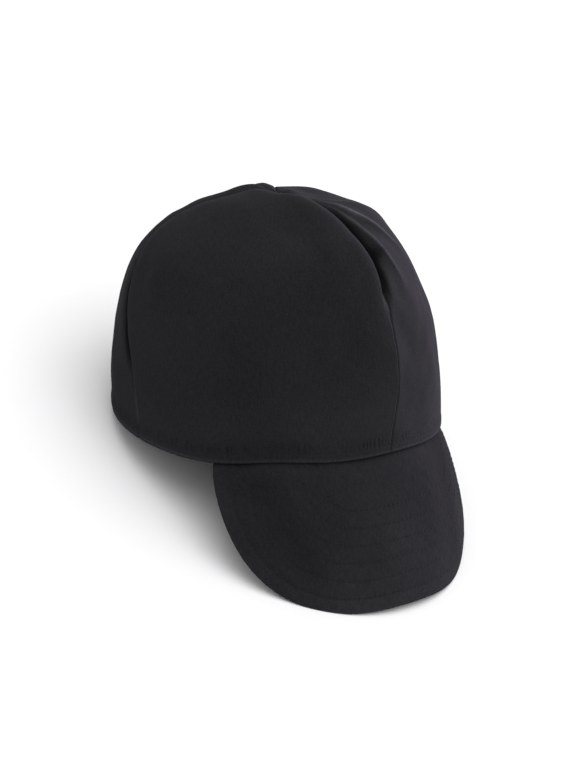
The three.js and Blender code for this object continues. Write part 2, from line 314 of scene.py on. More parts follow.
# Stitches: the share of a stitch that shows, and along it the share of its length, of its
# thickness, and how far it is lifted, in thicknesses
THREAD_MATERIAL = "spun_polyester_thread"
TWIST_SCALE = 3200.0
STITCH_SHOWN = 0.78
STITCH_PROFILE = ((0.0, 0.25, -0.30), (0.12, 0.9, 0.0), (0.5, 1.0, 0.12), (0.88, 0.9, 0.0),
                  (1.0, 0.25, -0.30))
STITCH_PROUD = 0.05 * MM
AHEAD_STEP = 0.1 * MM
TINY = 1e-12
SHORTEST_ROW = 20  # points

LAMP_TARGET = Vector((0, 0, 0.08))

# The photograph's camera, in the worn cap's own frame: degrees from the front towards the
# wearer's right, degrees above level, and degrees of roll
VIEW_AZIMUTH = 43.3
VIEW_ELEVATION = 18.0
VIEW_ROLL = -2.9
VIEW_DISTANCE = 1.4
PIXELS_PER_METRE = 1780.0  # at the middle of the rim
RIM_MIDDLE_PIXEL = (274.7, 414.1)
IMAGE_SIZE = (576, 768)
SENSOR = 36.0


def length_property(name, description, default):
    return FloatProperty(name=name, description=description, default=default, unit="LENGTH")


def colour_property(name, description, default):
    return FloatVectorProperty(
        name=name, description=description, default=linear(default), subtype="COLOR", size=3
    )


def linear(sheet_colour):
    """An sRGB hex colour as linear red, green and blue."""
    parts = (int(sheet_colour[i:i + 2], 16) / 255 for i in (1, 3, 5))
    return tuple(c / 12.92 if c <= 0.04045 else ((c + 0.055) / 1.055) ** 2.4 for c in parts)


class CrownSizes(bpy.types.PropertyGroup):
    """Sizes of the four-panel crown, with the rim level"""

    rim_length: length_property("Rim length", "Front to back over the rim", 190 * MM)
    rim_width: length_property("Rim width", "Side to side over the rim", 166 * MM)
    height: length_property("Crown height", "From the rim's level to the apex", 128 * MM)
    ear_dip: length_property("Ear dip", "How much lower the rim hangs at the ears", 10 * MM)
    brow_rise: length_property("Brow rise", "How much the rim arches at each brow", 3.3 * MM)
    apex_shift: length_property("Apex shift", "How far back the four seams meet", 6.3 * MM)
    wall: length_property("Cloth", "Thickness of the lined cotton", 1.6 * MM)
    hem_width: length_property("Hem width", "Height of the turned hem", 6 * MM)
    hem_fold: length_property("Hem fold", "How much thicker the hem is inside", 0.8 * MM)
    seam_depth: length_property("Seam depth", "How deep the front seam sinks", 7.5 * MM)
    fold_rise: length_property("Fold rise", "Height of a soft fold of height 1", 3 * MM)


class BillSizes(bpy.types.PropertyGroup):
    """Sizes of the quilted bill"""

    arc: FloatProperty(name="Root arc", description="Share of the rim the bill takes",
                       default=math.radians(136), subtype="ANGLE")
    length: length_property("Bill length", "From root to edge in the middle", 83.2 * MM)
    end_length: length_property("End length", "At both ends of the root", 2 * MM)
    thickness: length_property("Bill thickness", "Through all its layers", 2.6 * MM)
    tongue: length_property("Tongue", "Height of the edge sewn inside the rim", 8 * MM)
    edge_band: length_property("Edge band", "From the edge to the first row", 8.5 * MM)
    row_spacing: length_property("Stitch rows", "From one row to the next", 9.5 * MM)
    row_count: IntProperty(name="Row count", description="How many stitch rows", default=6)
    row_depth: length_property("Row depth", "How deep the stitching pulls in", 0.09 * MM)


class ClothLooks(bpy.types.PropertyGroup):
    """Colours of the cotton and sizes of its stitches"""

    cloth: colour_property("Cotton", "Washed black cotton", "#202022")
    worn: colour_property("Worn cotton", "Where the black has faded", "#242426")
    thread: colour_property("Thread", "Black sewing thread", "#1D1D1E")
    worn_thread: colour_property("Worn thread", "Where the black has faded", "#262627")
    bill_share: FloatProperty(name="Bill tone", description="Its cloth against the crown's",
                              default=0.84)
    stitch: length_property("Stitch", "Length of one stitch", 3.0 * MM)
    thread_width: length_property("Thread width", "Across one thread", 0.42 * MM)


class StageLooks(bpy.types.PropertyGroup):
    """Floor and lights"""

    floor: colour_property("Floor", "Pale paper", "#F4F4F5")
    room: FloatProperty(name="Room light", description="Even light from all round", default=0.8)
    key: FloatProperty(name="Side lamp", description="Soft box behind on the cap's left, in watts",
                       default=50.0)
    key_colour: colour_property("Side lamp colour", "Slightly violet daylight", "#F2E8FF")
    top: FloatProperty(name="Top lamp", description="Wide soft box overhead, in watts",
                       default=30.0)


def mix(first, second, share):
    return first + (second - first) * share


def smoothstep(value, low, high):
    share = np.clip((value - low) / (high - low), 0, 1)
    return share * share * (3 - 2 * share)


def rise_and_fall(value, start, full, fade, end):
    return smoothstep(value, start, full) * (1 - smoothstep(value, fade, end))


def bell(distance, half_width):
    """A smooth hump that is 1 where the distance is 0."""
    return np.exp(-((distance / half_width) ** 2))


def angle_between(first, second):
    return (first - second + FULL_TURN / 2) % FULL_TURN - FULL_TURN / 2


def unit(vectors, least=0):
    """The same directions at a length of 1; a least length keeps it from dividing by 0."""
    return vectors / (np.linalg.norm(vectors, axis=-1, keepdims=True) + least)


def running_lengths(line):
    """How far along a line of points each of them lies."""
    steps = np.linalg.norm(np.diff(line, axis=0), axis=-1)
    return np.concatenate([[0], np.cumsum(steps)])


def sampled(values, lengths, where):
    """Three-part values, given at some lengths along a line, at other lengths along it."""
    return np.stack([np.interp(where, lengths, values[:, axis]) for axis in range(3)], -1)


def ripples(across, up, length, seed, waves=9):
    """A gentle uneven surface, about one unit high, with bumps of roughly that length."""
    rng = np.random.default_rng(seed)
    total = np.zeros_like(across)
    for _ in range(waves):
        turn, phase, size = rng.uniform(0, math.tau, 2).tolist() + [rng.uniform(0.7, 1.6)]
        along = across * math.cos(turn) + up * math.sin(turn)
        total += np.sin(along * math.tau / (length * size) + phase)
    return total * math.sqrt(2 / waves) / RIPPLE_HEIGHT


def arch_points(crown, angle, arch):
    """The smooth crown at angles in degrees and arch angles from 0 at the rim to 1 on top."""
    turn = np.radians(angle)
    frontness = (1 + np.cos(turn)) / 2
    rise = mix(*RISE_POWERS, frontness)
    shoulder = mix(*SHOULDER_POWERS, frontness)
    up = np.sin(arch * math.pi / 2) ** (2 / rise)
    width = np.maximum(0, np.cos(arch * math.pi / 2)) ** (2 / shoulder)
    corner = np.abs(np.sin(turn)) ** RIM_SQUARENESS + np.abs(np.cos(turn)) ** RIM_SQUARENESS
    reach = width * corner ** (-1 / RIM_SQUARENESS)
    from_brow = np.abs(angle_between(angle, 0)) - BROW_ANGLE
    rim = crown.ear_dip / 2 * np.cos(2 * turn) + crown.brow_rise * bell(from_brow, BROW_SPREAD)
    return np.stack(np.broadcast_arrays(
        -crown.rim_width / 2 * np.sin(turn) * reach,
        -crown.rim_length / 2 * np.cos(turn) * reach + crown.apex_shift * up,
        mix(rim, crown.height, up),
    ), -1)


def seam_angle(name, climb):
    seam = SEAMS[name]
    late = seam["late"] * smoothstep(climb, seam["late_from"], seam["late_to"])
    return seam["at"] + seam["drift"] * smoothstep(climb, 0, seam["drift_end"]) + late


class Meridians:
    """Finds places on the smooth crown by angle and by the share of the cloth's length that lies
    below them, from lines up the crown worked out once."""

    def __init__(self, crown, lines=721, shares=1201, steps=481):
        self.crown = crown
        self.angles = np.linspace(0, FULL_TURN, lines)
        self.shares = np.linspace(0, 1, shares)
        arch = 1 - (1 - np.linspace(0, 1, steps)) ** 3
        points = arch_points(crown, self.angles[:, None], arch)
        gaps = np.linalg.norm(np.diff(points, axis=1), axis=-1)
        lengths = np.cumsum(np.insert(gaps, 0, 0, axis=1), axis=1)
        self.totals = lengths[:, -1]
        self.arches = np.stack([np.interp(self.shares, sums / sums[-1], arch) for sums in lengths])

    def total(self, angle):
        """The cloth's length from the rim to the apex."""
        return np.interp(np.mod(angle, FULL_TURN), self.angles, self.totals)

    def arch(self, angle, climb):
        column = np.mod(angle, FULL_TURN) / FULL_TURN * (len(self.angles) - 1)
        row = np.clip(climb, 0, 1) * (len(self.shares) - 1)
        left = np.minimum(column.astype(int), len(self.angles) - 2)
        low = np.minimum(row.astype(int), len(self.shares) - 2)
        beside, above = column - left, row - low
        first = mix(self.arches[left, low], self.arches[left, low + 1], above)
        second = mix(self.arches[left + 1, low], self.arches[left + 1, low + 1], above)
        return np.minimum(mix(first, second, beside), HIGHEST_ARCH)

    def places(self, angle, climb):
        """Points, the way out of the cloth in the upright plane, and the level part of that."""
        arch = self.arch(angle, climb)
        place = arch_points(self.crown, angle, arch)
        along = unit(arch_points(self.crown, angle, arch + ARCH_STEP) - place)
        turn = np.radians(angle)
        aside = unit(np.stack([-self.crown.rim_width * np.sin(turn),
                               -self.crown.rim_length * np.cos(turn), 0 * turn], -1))
        out = aside * along[..., 2:]
        out[..., 2] -= (along * aside).sum(-1)
        return place, unit(out), aside


def row_lengths(total, rows=168, fine=30, fine_length=13 * MM):
    """Cloth lengths from the rim: small steps over the hem, then even ones to the apex."""
    hem = np.linspace(0, fine_length, fine, endpoint=False)[:, None]
    above = np.linspace(0, 1, rows - fine)[:, None]
    return np.concatenate([hem + 0 * total, mix(fine_length, total - PANEL_TIP, above)])


def seam_rows(lines, name):
    """A seam's angle at each row of the panels beside it."""
    total = lines.total(SEAMS[name]["at"])
    return seam_angle(name, row_lengths(total) / total)


class PanelPlaces:
    """Where the points of one crown panel lie on the smooth crown, closest together beside its
    two seams: their angles, how far up they are as a share and along the cloth, and more."""

    def __init__(self, lines, first, last, columns):
        even = np.linspace(0, 1, columns + 1)
        self.share = even - 0.5 * np.sin(math.tau * even) / math.tau
        low, high = seam_rows(lines, first), seam_rows(lines, last)
        high = high + FULL_TURN * (SEAMS[last]["at"] < SEAMS[first]["at"])
        self.angle = mix(low, high, self.share)
        length = row_lengths(lines.total(mix(low[0], high[0], self.share)))
        self.total = lines.total(self.angle)
        self.climb = length / length[-1] * (self.total - PANEL_TIP) / self.total
        self.length = self.climb * self.total
        self.place, self.out, aside = lines.places(self.angle, self.climb)
        self.sideways = np.stack([aside[..., 1], -aside[..., 0], 0 * aside[..., 0]], -1)
        self.reach = np.hypot(self.place[..., 0],
                              self.place[..., 1] - lines.crown.apex_shift * self.climb)
        self.middle = np.radians(self.angle - (low + high) / 2) * self.reach

    def beside(self, angle):
        """How far the points are from a line up the crown at that angle in degrees, towards the
        wearer's right where positive."""
        return np.radians(angle_between(self.angle, angle)) * self.reach


def seam_pull(crown, at):
    """How far the seams pull the cloth in: a wide valley above, a narrow crease all the way,
    and small puckers that the thread gathers on both sides; and the nearest seam's distance."""
    rise = smoothstep(at.climb, VALLEY_START, VALLEY_FULL)
    share = rise * mix(1, APEX_DEPTH, smoothstep(at.climb, VALLEY_FULL, 1))
    pull = np.zeros_like(at.angle)
    nearest = np.full_like(at.angle, FAR_AWAY)
    for order, (name, seam) in enumerate(SEAMS.items()):
        away = np.abs(at.beside(seam_angle(name, at.climb)))
        valley = crown.seam_depth * seam["depth"] * share * np.exp(-away / seam["width"])
        crease = SEAM_CREASE * bell(away, SEAM_CREASE_WIDTH)
        gather = ripples(at.length, 0 * at.length, PUCKER_LENGTH, SEAM_SEED + order, 5)
        pucker = PUCKER_DEPTH * gather * np.exp(-away / PUCKER_REACH)
        pull = np.maximum(pull, valley) + crease + pucker * smoothstep(at.climb, *PUCKER_START)
        nearest = np.minimum(nearest, away)
    return pull, nearest


def lips(at):
    """How far rolled edges lift the cloth, how far they carry it sideways over the seam, towards
    the wearer's right where positive, and how much painted shade lies in the gap under them,
    less a painted highlight on the roll's crest."""
    lift = np.zeros_like(at.angle)
    shift = np.zeros_like(at.angle)
    lip_shade_and_highlight = np.zeros_like(at.angle)
    for lip in LIPS:
        away = at.beside(seam_angle(lip["seam"], at.climb)) * lip["side"]
        rolled = lip["strength"] * rise_and_fall(at.climb, *lip["roll"])
        opened = lip["strength"] * rise_and_fall(at.climb, *lip["gap"])
        over = bell(away - LIP_CREST, LIP_CREST) * (away >= 0)
        swell = bell(away - SWELL_CREST, SWELL_WIDTH) * smoothstep(away, 0, SWELL_FULL)
        sink = np.where(away < 0, np.exp(away / LIP_GAP),
                        EDGE_SINK * np.exp(-away / EDGE_SINK_WIDTH))
        lift += rolled * LIP_RISE * swell - opened * LIP_SINK * sink
        shift -= rolled * lip["side"] * LIP_OVERHANG * over
        # Painted shade, darkest in the gap under the roll and fading onto the roll's own edge,
        # then a painted highlight on the roll's crest
        wide = SHADE_WIDTH + POCKET_WIDTH * bell(at.climb - POCKET, POCKET_HEIGHT)
        far = bell(np.minimum(0, away + SHADE_FLAT), wide)
        lip_shade_and_highlight += LIP_SHADE * opened * np.where(away < 0, far, np.exp(-away / SHADE_EDGE))
        lip_shade_and_highlight -= LIP_HIGHLIGHT * opened * bell(away - LIP_HIGHLIGHT_AT, LIP_HIGHLIGHT_WIDTH)
    return lift, shift, lip_shade_and_highlight


def front_bow(at):
    """The crown is a little pointed along the front seam, where two flat panels meet."""
    away = np.abs(at.beside(seam_angle("front", at.climb)))
    return BOW_RISE * np.exp(-away / BOW_WIDTH) * rise_and_fall(at.climb, *BOW_SPAN)


def creases(at):
    """How high the crisp creases stand, and how much lighter their crests are painted: partly
    wear, partly painted highlight.
    """
    height = np.zeros_like(at.angle)
    wear = np.zeros_like(at.angle)
    for crease in CREASES:
        share = np.clip((at.climb - crease["low"]) / (crease["high"] - crease["low"]), 0, 1)
        path = mix(crease["from"], crease["to"], share) + crease["bow"] * 4 * share * (1 - share)
        away = at.beside(path)
        crest = np.exp(-(np.hypot(away, CREST_ROUNDING) - CREST_ROUNDING) / crease["width"])
        ends = rise_and_fall(share, *CREASE_ENDS)
        height += crease["height"] * crest * ends
        wear += bell(away, crease["band"]) * ends * crease["wear"]
    return height, wear


def fading_and_shading(at):
    """How much lighter the cloth is painted over wide areas, negative where darker: partly faded
    and deep black cloth, partly painted shade and light.
    """
    wear = np.zeros_like(at.angle)
    for fade in FADES_AND_SHADES:
        across = angle_between(at.angle, fade["at"]) / fade["across"]
        along = (at.climb - fade["up"]) / fade["along"]
        wear += fade["wear"] * np.exp(-(across ** 2) - along ** 2)
    return wear


def fold_height(crown, at):
    height = np.zeros_like(at.angle)
    for fold in FOLDS:
        sideways = at.beside(fold["at"])
        upwards = (at.climb - fold["up"]) * at.total
        turn = math.radians(fold["turn"])
        along = sideways * math.cos(turn) + upwards * math.sin(turn)
        across = upwards * math.cos(turn) - sideways * math.sin(turn)
        along = along / (fold["length"] * crown.height)
        across = across / (fold["width"] * crown.height)
        height += crown.fold_rise * fold["height"] * np.exp(-(along ** 2) - across ** 2)
    height = height * smoothstep(at.climb, 0, FOLD_FADE_RIM)
    return height * smoothstep(1 - at.climb, 0, FOLD_FADE_APEX)


def hem_relief(crown, at):
    """The turned hem stands a little proud, its stitching gathers the cloth into small puckers,
    and its edge is painted lighter: the height, and the tone, with painted shade in the puckers."""
    around = np.radians(at.angle) * crown.rim_width / 2
    row = crown.hem_width - HEM_ROW_INSET
    proud = HEM_PROUD * (1 - smoothstep(at.length, row, crown.hem_width + HEM_STEP))
    groove = HEM_GROOVE * bell(at.length - row, HEM_GROOVE_WIDTH)
    uneven = ripples(around, 0 * around, HEM_UNEVEN_LENGTH, HEM_SEED, 6)
    gather = 0.5 + 0.5 * np.sin(around * math.tau / HEM_PUCKER_LENGTH + 2.2 * uneven)
    patchy = ripples(around, 0 * around, HEM_PATCH_LENGTH, HEM_SEED + 1, 6)
    gather = gather * np.clip(0.55 + 0.35 * uneven + 0.45 * patchy, 0.05, 1.3)
    above = bell(at.length - row - HEM_PUCKER_ABOVE, HEM_PUCKER_REACH)
    edge = HEM_EDGE_DROP * (1 - smoothstep(at.length, 0, HEM_EDGE_WIDTH))
    wear = HEM_EDGE_LIGHTER * bell(at.length - HEM_LIGHTER_AT, HEM_LIGHTER_WIDTH)
    wear -= HEM_PUCKER_SHADE * gather * above
    return proud - groove - HEM_PUCKER_DEPTH * gather * above - edge, wear


def wall_thickness(crown, bill, at, nearest):
    """One layer of cloth, two in the hem except where the bill is sewn in, and more over the
    seam allowances inside."""
    beside_bill = np.abs(angle_between(at.angle, 0)) - math.degrees(bill.arc) / 2
    hem = 1 - smoothstep(at.length, crown.hem_width, crown.hem_width + HEM_STEP)
    wall = crown.wall + crown.hem_fold * hem * smoothstep(beside_bill, *HEM_BESIDE_BILL)
    allowance = (1 - smoothstep(nearest, *ALLOWANCE_EDGE)) * (at.length > ALLOWANCE_START)
    return wall + ALLOWANCE * allowance


def crown_panel(lines, bill, first, last, columns, seed):
    """Grids of points outside and inside one panel, and where each lies in the flat cloth."""
    crown = lines.crown
    at = PanelPlaces(lines, first, last, columns)
    pull, nearest = seam_pull(crown, at)
    calm = 1 - np.exp(-nearest / CALM_REACH)
    soft = WAVE_HEIGHT * ripples(at.middle, at.length, WAVE_LENGTH, seed)
    soft += DENT_HEIGHT * ripples(at.middle, at.length, DENT_LENGTH, seed + 1)
    lift, shift, lip_shade_and_highlight = lips(at)
    crest, wear = creases(at)
    lift += fold_height(crown, at) - pull
    lift += crest * smoothstep(nearest, 0, CREST_FULL) + front_bow(at)
    hem_height, hem_shade_and_edge = hem_relief(crown, at)
    lift += soft * calm * smoothstep(at.climb, 0, SOFT_FULL) + hem_height
    gap = SEAM_GAP * (0.5 - at.share)
    pressed = SEAM_OVERLAP * (at.share - 0.5)
    outer = at.place + at.out * lift[..., None] + at.sideways * (gap - shift)[..., None]
    wall = wall_thickness(crown, bill, at, nearest)
    inner = outer - at.out * wall[..., None] + at.sideways * pressed[:, None]
    # Painted tones: crests lighter, partly wear and partly painted highlight, except where the
    # painted shade under a rolled edge lies, which is taken off; the hem's painted shade in its
    # puckers and its lighter edge; broad patches, partly fading and partly painted shade and
    # light; and random patchy wear
    wear = np.clip(wear, 0, BRIGHTEST_CREST) * (1 - np.clip(lip_shade_and_highlight, 0, 1)) - lip_shade_and_highlight + hem_shade_and_edge
    wear += fading_and_shading(at) + PATCHY_WEAR * ripples(at.middle, at.length, CROWN_PATCH, seed + 2)
    cloth = np.stack([at.middle, at.length, wear], -1)
    return outer, inner, cloth


def add_object(name, data):
    item = bpy.data.objects.new(name, data)
    bpy.context.scene.collection.objects.link(item)
    return item


def closed_cloth(name, outer, inner, cloth):
    """A mesh object between two grids, with each point's place in the flat cloth."""
    rows, columns = outer.shape[:2]
    below = rows * columns
    top = np.arange(below).reshape(rows, columns)
    under = top + below
    ring = np.concatenate([top[0, :], top[1:, -1], top[-1, -2::-1], top[-2:0:-1, 0]])
    after = np.roll(ring, -1)
    faces = np.concatenate([
        np.stack([top[:-1, :-1], top[1:, :-1], top[1:, 1:], top[:-1, 1:]], -1).reshape(-1, 4),
        np.stack([under[:-1, :-1], under[:-1, 1:], under[1:, 1:], under[1:, :-1]], -1)
        .reshape(-1, 4),
        np.stack([ring, after, after + below, ring + below], -1),
    ])
    points = np.concatenate([outer.reshape(-1, 3), inner.reshape(-1, 3)])
    mesh = bpy.data.meshes.new(name)
    mesh.from_pydata(points.tolist(), [], faces.tolist())
    places = mesh.attributes.new("cloth", "FLOAT_VECTOR", "POINT")
    both = np.concatenate([cloth.reshape(-1, 3)] * 2)
    places.data.foreach_set("vector", both.ravel().astype(np.float32))
    mesh.shade_smooth()
    return add_object(name, mesh)


def bill_middle(lines, bill, across, along):
    """Points on top of the bill: across from -1 to 1 along the root, along from 0 to 1."""
    angle = across * math.degrees(bill.arc) / 2
    root, _, aside = lines.places(angle, 0 * angle)
    outline = np.maximum(0, 1 - np.abs(across) ** OUTLINE_POWER) ** (1 / OUTLINE_CORNER)
    length = mix(bill.end_length, bill.length, outline)
    heading = unit(mix(np.array([0, -1.0, 0]), aside, BILL_SPREAD))
    between = 4 * (across ** 2 - across ** 4)
    slope = np.radians(mix(SLOPE_MIDDLE, SLOPE_ENDS, across ** 2) + SLOPE_BETWEEN * between)
    curl = math.radians(BILL_CURL)
    mean = slope + curl * (along - 1) / 2
    chord = length * along * np.sinc(curl * along / 2 / math.pi)
    tuck = lines.crown.wall + TONGUE_GAP
    flare = 1 - np.minimum(1, length * along / BILL_FLARE)
    inwards = aside * (tuck * flare ** 2)[..., None]
    forwards = heading * (chord * np.cos(mean))[..., None]
    drop = np.array([0, 0, 1.0]) * (chord * np.sin(mean))[..., None]
    return root - inwards + forwards - drop


def bill_tongue(lines, bill, across):
    """Points on the bill's edge that is sewn inside the rim, from its top down to the rim."""
    angle = across * math.degrees(bill.arc) / 2
    height = np.linspace(bill.tongue, 0, len(across), endpoint=False)[:, None] + 0 * angle
    place, out, _ = lines.places(angle, height / lines.total(angle))
    return place - out * (lines.crown.wall + TONGUE_GAP)


def grid_normals(grid):
    """Directions square to a grid of points, pointing away from the cap's middle."""
    along = np.gradient(grid, axis=0)
    across = np.gradient(grid, axis=1)
    normal = unit(np.cross(across, along))
    return normal * np.sign((normal[..., :2] * grid[..., :2]).sum(-1))[..., None]


def edge_distance(grid, edge, samples=1200):
    """How far each point of a grid is from the nearest point of a line."""
    sums = running_lengths(edge)
    line = sampled(edge, sums, np.linspace(0, sums[-1], samples))
    nearest = np.empty(grid.shape[:2])
    for row, points in enumerate(grid):
        nearest[row] = np.sqrt(((points[:, None] - line[None]) ** 2).sum(-1).min(1))
    return nearest


def quilting(bill, away):
    """Cloth puffs up between the stitch rows and sinks where they run."""
    row = np.maximum(0, np.round((away - bill.edge_band) / bill.row_spacing))
    beside = away - bill.edge_band - row * bill.row_spacing
    return -bill.row_depth * bell(beside, QUILT_WIDTH)


def bill_trough(sideways, down):
    """How deep the hollow is that runs down the bill on the wearer's right, round the brow."""
    bow = TROUGH_BOW * (np.maximum(0, down) / TROUGH_LENGTH) ** 2
    line = sideways + TROUGH_AT - bow
    return TROUGH_DEPTH * bell(line, TROUGH_WIDTH) * rise_and_fall(down, *TROUGH_SPAN)


def bill_wear_and_shading(bill, away, sideways, down, trough):
    """How much lighter the bill's cloth is painted, negative where darker: painted shade towards
    both sides and in the hollow, painted light towards the tip, lighter along the edge and over
    the edge band, and random patches.
    """
    band = 1 - smoothstep(away, bill.edge_band - 1.5 * MM, bill.edge_band)
    left = smoothstep(sideways, -10 * MM, 62 * MM)
    right = 1 - smoothstep(sideways, -75 * MM, -38 * MM)
    right_edge = bell(sideways + 72 * MM, 14 * MM)
    wear = BILL_WEAR_AND_SHADING["band"] * band + BILL_WEAR_AND_SHADING["edge"] * bell(away, 1.2 * MM)
    wear += BILL_WEAR_AND_SHADING["hollow"] * trough / MM
    wear += BILL_WEAR_AND_SHADING["tip"] * smoothstep(down, 25 * MM, 80 * MM) + BILL_WEAR_AND_SHADING["all"]
    wear += BILL_WEAR_AND_SHADING["left"] * left
    wear += BILL_WEAR_AND_SHADING["right_low"] * right * smoothstep(down, 30 * MM, 50 * MM)
    wear += BILL_WEAR_AND_SHADING["right_high"] * right_edge * (1 - smoothstep(down, 20 * MM, 50 * MM))
    wear += PATCHY_WEAR * ripples(sideways, down, BILL_PATCH, BILL_SEED + 2)
    return wear


def bill_cloth(lines, bill, columns=280, rows=136, tongue_rows=8):
    """Grids of points on top of the bill and under it, where each lies in the flat cloth, and
    how far it is from the bill's edge."""
    across = np.sin(math.pi * (np.linspace(0, 1, columns + 1) - 0.5))[None, :]
    along = 1 - (1 - np.linspace(0, 1, rows + 1)) ** 1.5
    across, along = np.broadcast_arrays(across, along[:, None])
    top = bill_middle(lines, bill, across, along)
    edge = np.concatenate([top[:, 0], top[-1, 1:-1], top[::-1, -1]])
    away = edge_distance(top, edge)
    tongue = bill_tongue(lines, bill, across[:tongue_rows])
    top = np.concatenate([tongue, top])
    away = np.concatenate([np.full(tongue.shape[:2], FAR_AWAY), away])
    normal = grid_normals(top)
    middle = top - normal * bill.thickness / 2
    round_edge = np.clip(away / (bill.thickness * EDGE_ROUNDING), 0, 1)
    half = bill.thickness / 2 * np.sqrt(np.maximum(THINNEST, 1 - (1 - round_edge) ** 2))
    sideways = top[..., 0]
    steps = np.linalg.norm(np.diff(top, axis=0), axis=-1)
    down = np.cumsum(np.insert(steps, 0, 0, axis=0), axis=0)
    trough = bill_trough(sideways, down - bill.tongue)
    bend = BEND_HEIGHT * ripples(sideways, top[..., 1], BEND_LENGTH, BILL_SEED)
    bend = bend * smoothstep(away, 0, BEND_FULL) - trough
    wrinkle = WRINKLE_HEIGHT * ripples(sideways, top[..., 2], WRINKLE_LENGTH, BILL_SEED + 1)
    relief = quilting(bill, away)
    outer = middle + normal * (half + relief + wrinkle * (round_edge >= 1) + bend)[..., None]
    inner = middle - normal * (half + relief - bend)[..., None]
    cloth = np.stack([sideways, down, bill_wear_and_shading(bill, away, sideways, down, trough)], -1)
    return outer, inner, cloth, away


def stand_matrix(worn_bill, worn_back, halvings=40):
    """Tilts the worn cap back until its bill and its rim touch the floor together."""
    low, high = 0.0, math.pi / 3
    for _ in range(halvings):
        tilt = (low + high) / 2
        lowest = [(grid[..., 2] * math.cos(tilt) - grid[..., 1] * math.sin(tilt)).min()
                  for grid in (worn_bill, worn_back)]
        low, high = (tilt, high) if lowest[0] < lowest[1] else (low, tilt)
    return Matrix.Translation((0, 0, -lowest[0] - FOOT_FLAT)) @ Matrix.Rotation(-tilt, 4, "X")


def stand(grid, matrix, above=0.0):
    """Moves a grid with the cap, and presses flat what would sink into the floor."""
    turned = grid @ np.array(matrix.to_3x3()).T + np.array(matrix.translation)
    turned[..., 2] = np.maximum(turned[..., 2], above)
    return turned


def add_node(tree, kind, inputs=None, **settings):
    """Adds a shader node, sets its properties and sockets, and links sockets given as outputs."""
    node = tree.nodes.new(kind)
    for key, value in settings.items():
        setattr(node, key, value)
    for key, value in (inputs or {}).items():
        if isinstance(value, bpy.types.NodeSocket):
            tree.links.new(value, node.inputs[key])
        else:
            node.inputs[key].default_value = value
    return node


def math_node(tree, operation, *values, kind="ShaderNodeMath"):
    """Adds a node that works out one operation, and gives its result."""
    return add_node(tree, kind, dict(enumerate(values)), operation=operation).outputs[0]


def noise(tree, vector, scale, detail):
    return add_node(tree, "ShaderNodeTexNoise",
                    {"Vector": vector, "Scale": scale, "Detail": detail}).outputs[0]


def blend(tree, share, first, second):
    """Mixes two colours."""
    return add_node(tree, "ShaderNodeMix", {"Factor": share, "A": (*first, 1), "B": (*second, 1)},
                    data_type="RGBA").outputs["Result"]


def new_material(name):
    material = bpy.data.materials.new(name)
    material.use_nodes = True
    material.node_tree.nodes.clear()
    return material, material.node_tree


def finish_material(tree, inputs):
    shader = add_node(tree, "ShaderNodeBsdfPrincipled", inputs)
    add_node(tree, "ShaderNodeOutputMaterial", {"Surface": shader.outputs[0]})


def woven_cotton(name, looks, share=1.0):
    """Washed black cotton drill: matt and slightly fuzzy, so it catches light at its edges."""
    material, tree = new_material(name)
    place = add_node(tree, "ShaderNodeAttribute", attribute_name="cloth").outputs["Vector"]
    split = add_node(tree, "ShaderNodeSeparateXYZ", {0: place})
    waves = []
    for axis in (0, 1):
        turn = math_node(tree, "MULTIPLY", split.outputs[axis], math.pi / WEAVE)
        waves.append(math_node(tree, "SINE", turn))
    weave = math_node(tree, "MULTIPLY", *waves)
    slubs = []
    for scale in SLUB_SCALES:
        stretched = math_node(tree, "MULTIPLY", place, scale, kind="ShaderNodeVectorMath")
        slubs.append(noise(tree, stretched, 1.0, 2.0))
    slub = math_node(tree, "ADD", *slubs)
    colour = blend(tree, noise(tree, place, FADING_SCALE, 3.0), looks.cloth, looks.worn)
    shade = add_node(tree, "ShaderNodeMapRange", {
        "Value": slub, "From Min": 0.7, "From Max": 1.3,
        "To Min": 0.8 * share, "To Max": 1.2 * share}).outputs[0]
    # The third part of the cloth places is wear and painted shade and light; it scales the
    # brightness
    wear_and_shading_share = math_node(tree, "POWER", WEAR_AND_SHADING_CONTRAST, split.outputs["Z"])
    shade = math_node(tree, "MULTIPLY", shade, wear_and_shading_share)
    tone = add_node(tree, "ShaderNodeVectorMath", {0: colour, "Scale": shade}, operation="SCALE")
    height = math_node(tree, "MULTIPLY_ADD", weave, WEAVE_SHARE, slub)
    bump = add_node(tree, "ShaderNodeBump", {"Height": height, "Strength": 0.55,
                    "Distance": WEAVE_HEIGHT})
    finish_material(tree, {
        "Base Color": tone.outputs[0], "Roughness": 0.9, "IOR": 1.5,
        "Specular IOR Level": 0.02, "Sheen Weight": 0.01, "Sheen Roughness": 0.4,
        "Normal": bump.outputs[0]})
    return material


def sewing_thread(looks):
    """Spun polyester thread: a little smoother than the cloth, so a stitch has a faint glint."""
    material, tree = new_material(THREAD_MATERIAL)
    place = add_node(tree, "ShaderNodeTexCoord").outputs["Object"]
    tone = blend(tree, noise(tree, place, TWIST_SCALE, 1.0), looks.thread, looks.worn_thread)
    finish_material(tree, {"Base Color": tone, "Roughness": 0.7, "IOR": 1.5,
                           "Specular IOR Level": 0.03})
    return material


